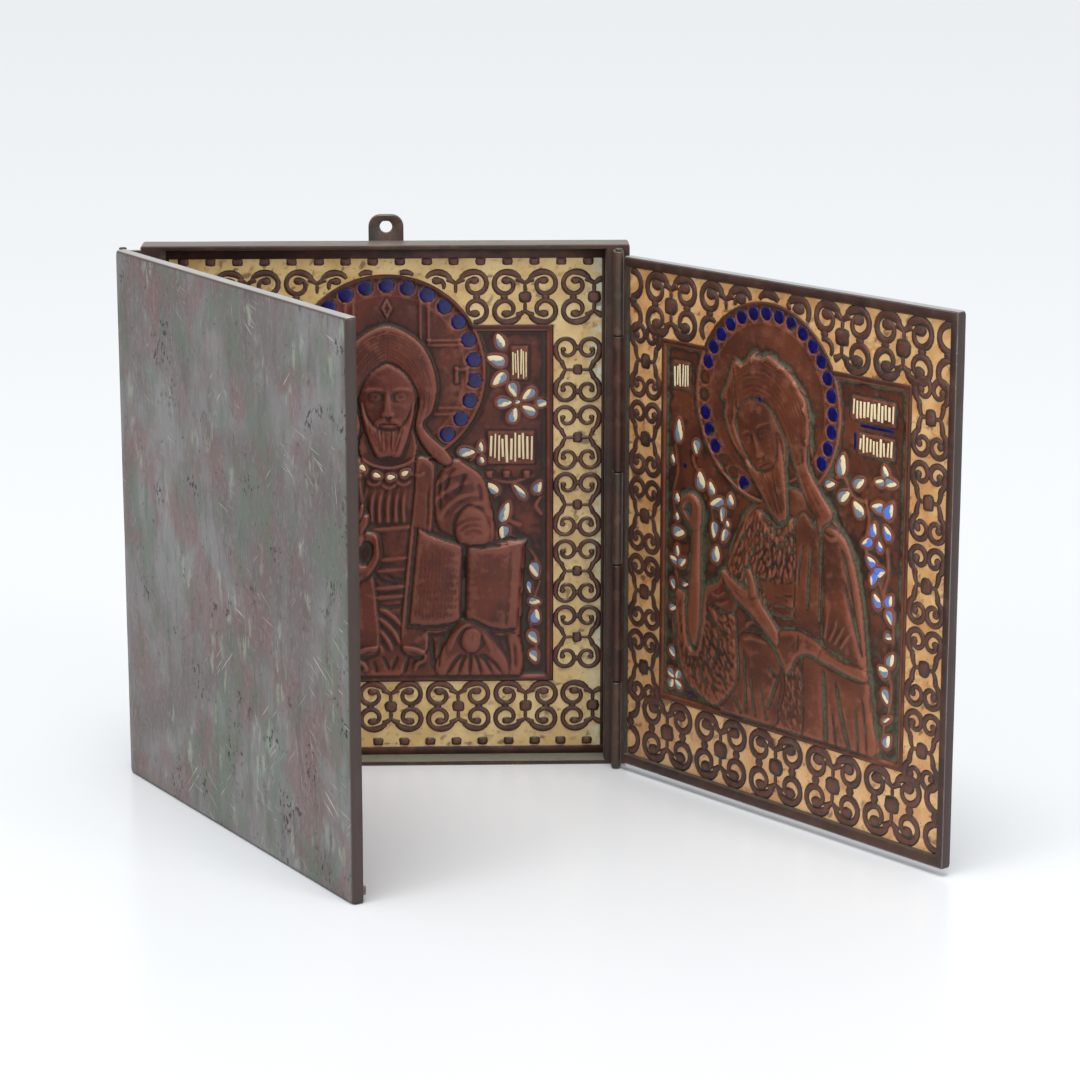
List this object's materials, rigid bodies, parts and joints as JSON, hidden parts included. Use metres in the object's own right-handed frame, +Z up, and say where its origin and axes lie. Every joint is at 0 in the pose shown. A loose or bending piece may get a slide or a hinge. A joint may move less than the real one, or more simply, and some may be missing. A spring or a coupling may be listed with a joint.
{
  "type": "folding travelling triptych icon",
  "caption": "Hand-high folding triptych of cast copper alloy with enamelled relief leaves, two pinned hinges and a hanging lug.",
  "frame": {"origin": "middle of the centre panel's underside", "axes": "+Z up, -Y towards the viewer of the open triptych, +X towards the right wing"},
  "size_m": [0.2342, 0.1377, 0.1676],
  "materials": {
    "patinated_bronze": "red-brown patina with green in the recesses, enamelled grounds",
    "hinge_bronze": "dull grey-brown"
  },
  "bodies": {
    "centre": {"centre_panel": "patinated_bronze", "left_hinge_pin": "hinge_bronze", "right_hinge_pin": "hinge_bronze", "hanging_lug": "hinge_bronze"},
    "left_leaf": {"left_wing": "patinated_bronze"},
    "right_leaf": {"right_wing": "patinated_bronze"}
  },
  "joints": [
    {"name": "left_wing_hinge", "type": "hinge", "parent": "centre", "child": "left_leaf", "pos_m": [-0.077, -0.0053, 0.08], "axis": [0, 0, -1], "range_deg": [-60, 120]},
    {"name": "right_wing_hinge", "type": "hinge", "parent": "centre", "child": "right_leaf", "pos_m": [0.0685, -0.0092, 0.08], "axis": [0, 0, 1], "range_deg": [-73, 51]}
  ]
}
